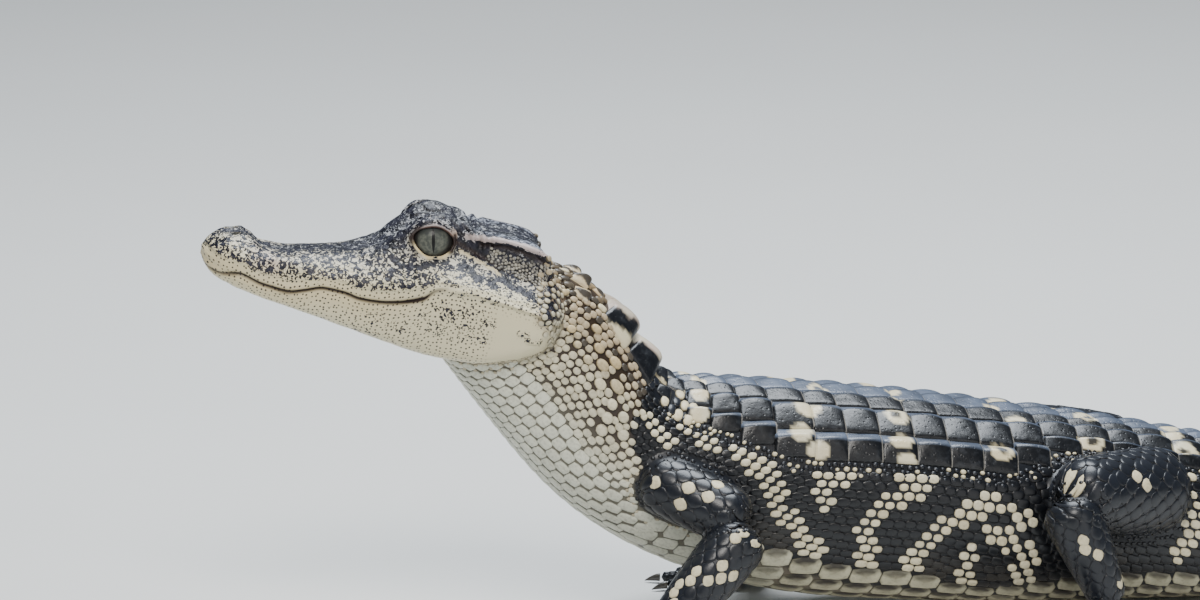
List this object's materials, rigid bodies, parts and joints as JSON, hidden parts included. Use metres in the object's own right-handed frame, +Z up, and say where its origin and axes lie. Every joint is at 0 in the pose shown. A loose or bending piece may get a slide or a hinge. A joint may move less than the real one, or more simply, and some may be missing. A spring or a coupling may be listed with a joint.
{
  "type": "american alligator",
  "caption": "Young American alligator at life size, chest raised on bent forelegs, head lifted, mouth closed and tail curved on the floor, as a still museum model.",
  "frame": {"origin": "middle of the animal's bounding box, on the floor that it stands on", "axes": "+X from head to tail, +Y to the animal's right, +Z up"},
  "size_m": [0.7534, 0.1812, 0.1475],
  "materials": {
    "skin_dark": "glossy blue-black scales with cream scales in cross bands",
    "skin_pale": "smooth cream scales with small dark dots",
    "skin_head": "mottled grey, tan and cream skin over bone, satin",
    "skin_neck": "rounded tan to cream scales in dark gaps, satin",
    "eye_grey": "wet grey eye with an upright slit pupil",
    "claw_horn": "dark polished horn"
  },
  "bodies": {
    "root": {"head": "skin_head", "lower_jaw": "skin_pale", "neck": "skin_neck", "torso": "skin_dark", "tail_base": "skin_dark", "tail_middle": "skin_dark", "tail_tip": "skin_dark", "eye_left": "eye_grey", "eye_right": "eye_grey", "foreleg_left_upper": "skin_dark", "foreleg_left_lower": "skin_dark", "foreleg_left_foot": "skin_dark", "foreleg_left_claw_1": "claw_horn", "foreleg_left_claw_2": "claw_horn", "foreleg_left_claw_3": "claw_horn", "foreleg_right_upper": "skin_dark", "foreleg_right_lower": "skin_dark", "foreleg_right_foot": "skin_dark", "foreleg_right_claw_1": "claw_horn", "foreleg_right_claw_2": "claw_horn", "foreleg_right_claw_3": "claw_horn", "hindleg_left_upper": "skin_dark", "hindleg_left_lower": "skin_dark", "hindleg_left_foot": "skin_dark", "hindleg_left_claw_1": "claw_horn", "hindleg_left_claw_2": "claw_horn", "hindleg_left_claw_3": "claw_horn", "hindleg_right_upper": "skin_dark", "hindleg_right_lower": "skin_dark", "hindleg_right_foot": "skin_dark", "hindleg_right_claw_1": "claw_horn", "hindleg_right_claw_2": "claw_horn", "hindleg_right_claw_3": "claw_horn"}
  },
  "joints": []
}
